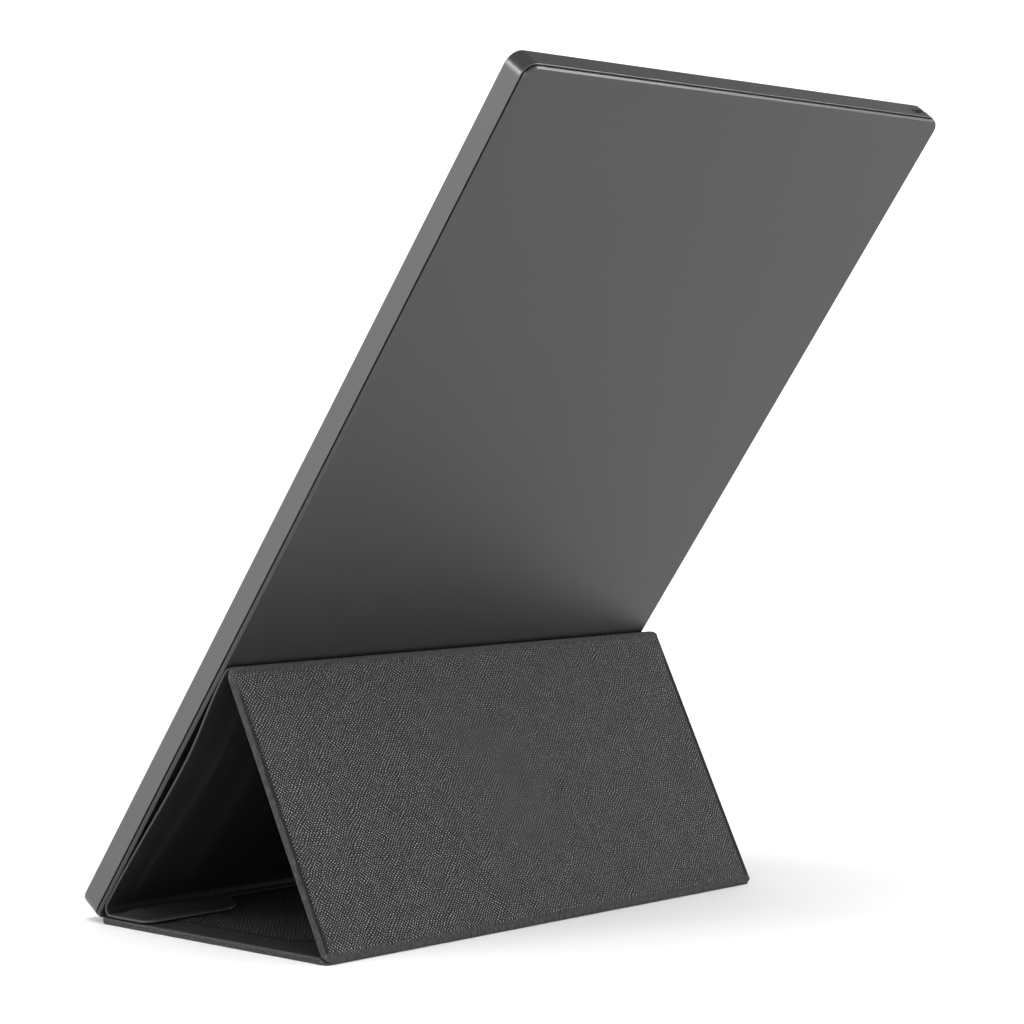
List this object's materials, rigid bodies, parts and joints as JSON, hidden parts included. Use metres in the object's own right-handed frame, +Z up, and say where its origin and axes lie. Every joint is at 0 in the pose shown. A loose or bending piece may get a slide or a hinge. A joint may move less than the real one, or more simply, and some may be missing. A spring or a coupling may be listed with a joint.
{
  "type": "portable monitor with cover",
  "caption": "Thin portable monitor standing upright in portrait, leaned on its folded cloth cover, which makes a three-panel stand and folds flat against the back.",
  "frame": {"origin": "middle of the floor panel's underside, on the surface it stands on", "axes": "+Z up, screen faces -Y and upwards, +X to the right seen from behind the -Y side"},
  "size_m": [0.2331, 0.2184, 0.2991],
  "materials": {
    "casing": "satin, anodised dark grey",
    "bezel_plastic": "fine matt",
    "key_plastic": "semi-gloss",
    "screen": "anti-glare matt",
    "clear_plastic": "clear, polished edges",
    "white_film": "matt white film",
    "led_board": "white solder mask",
    "tray_metal": "bare rolled sheet",
    "circuit_board": "green solder mask",
    "chip_plastic": "black moulded",
    "flex_film": "amber film",
    "steel": "nickel plated",
    "brass": "plain",
    "magnet": "nickel plated",
    "tape": "foam",
    "insulator": "black film",
    "woven_cloth": "grey woven canvas",
    "inner_cloth": "grey woven, coarser",
    "lining": "smooth black microfibre",
    "board": "stiff fibre board",
    "lamp": "diffuse"
  },
  "bodies": {
    "monitor": {"side_frame": "casing", "rear_plate": "casing", "plate_adhesive": "tape", "front_bezel": "bezel_plastic", "panel_foam_tape": "tape", "lcd_cell": "screen", "diffuser_films": "white_film", "light_guide": "clear_plastic", "led_strip": "led_board", "reflector_film": "white_film", "panel_tray": "tray_metal", "panel_driver_board": "circuit_board", "panel_flexes": "flex_film", "panel_driver_chips": "chip_plastic", "usb_c_shell": "steel", "usb_c_contact_blade": "steel", "main_board": "circuit_board", "board_standoffs": "brass", "board_screws": "steel", "shield_can": "steel", "scaler_chip": "chip_plastic", "power_chips": "chip_plastic", "insulating_sheet": "insulator", "display_cable": "flex_film", "button_cable": "white_film", "button_board": "circuit_board", "button_board_screws": "steel", "key_switches": "steel", "indicator_lamp": "lamp", "indicator_light_pipe": "clear_plastic", "tray_screws": "steel", "grip_plates": "steel"},
    "power_key": {"power_key": "key_plastic"},
    "menu_key": {"menu_key": "key_plastic"},
    "select_key": {"select_key": "key_plastic"},
    "mount_panel": {"mount_sheet": "lining", "mount_magnets": "magnet", "tongue_fold_strips": "lining"},
    "closing_tongues": {"closing_tongue_left": "lining", "closing_tongue_right": "lining", "tongue_magnets": "magnet"},
    "sloped_panel": {"sloped_outer_cloth": "woven_cloth", "sloped_board": "board", "sloped_lining": "lining", "top_fold_strip": "woven_cloth"},
    "floor_panel": {"floor_outer_cloth": "woven_cloth", "floor_board": "board", "floor_lining": "lining", "floor_woven_field": "inner_cloth", "floor_magnets": "magnet", "rear_fold_strip": "woven_cloth"}
  },
  "joints": [
    {"name": "power_key_press", "type": "slide", "parent": "monitor", "child": "power_key", "axis": [0, 0.8111, -0.5849], "range_m": [0, 0.0004], "stiffness_N_per_m": 3000},
    {"name": "menu_key_press", "type": "slide", "parent": "monitor", "child": "menu_key", "axis": [0, 0.8111, -0.5849], "range_m": [0, 0.0004], "stiffness_N_per_m": 3000},
    {"name": "select_key_press", "type": "slide", "parent": "monitor", "child": "select_key", "axis": [0, 0.8111, -0.5849], "range_m": [0, 0.0004], "stiffness_N_per_m": 3000},
    {"name": "cover_pull_off", "type": "slide", "parent": "monitor", "child": "mount_panel", "axis": [0, 0.8111, -0.5849], "range_m": [0, 0.12]},
    {"name": "top_fold", "type": "hinge", "parent": "mount_panel", "child": "sloped_panel", "pos_m": [0, 0.00931, 0.09846], "axis": [1, 0, 0], "range_deg": [0, 117], "deforming": ["top_fold_strip"]},
    {"name": "rear_fold", "type": "hinge", "parent": "sloped_panel", "child": "floor_panel", "pos_m": [0, 0.0597, 0], "axis": [1, 0, 0], "range_deg": [0, 117], "deforming": ["rear_fold_strip"]},
    {"name": "tongue_fold", "type": "hinge", "parent": "mount_panel", "child": "closing_tongues", "pos_m": [0, -0.05373, 0.0059], "axis": [-1, 0, 0], "range_deg": [0, 125.7], "deforming": ["tongue_fold_strips"]}
  ],
  "couplings": [
    {"joint": "tongue_fold", "follows": "rear_fold", "ratio": 1.0743}
  ]
}
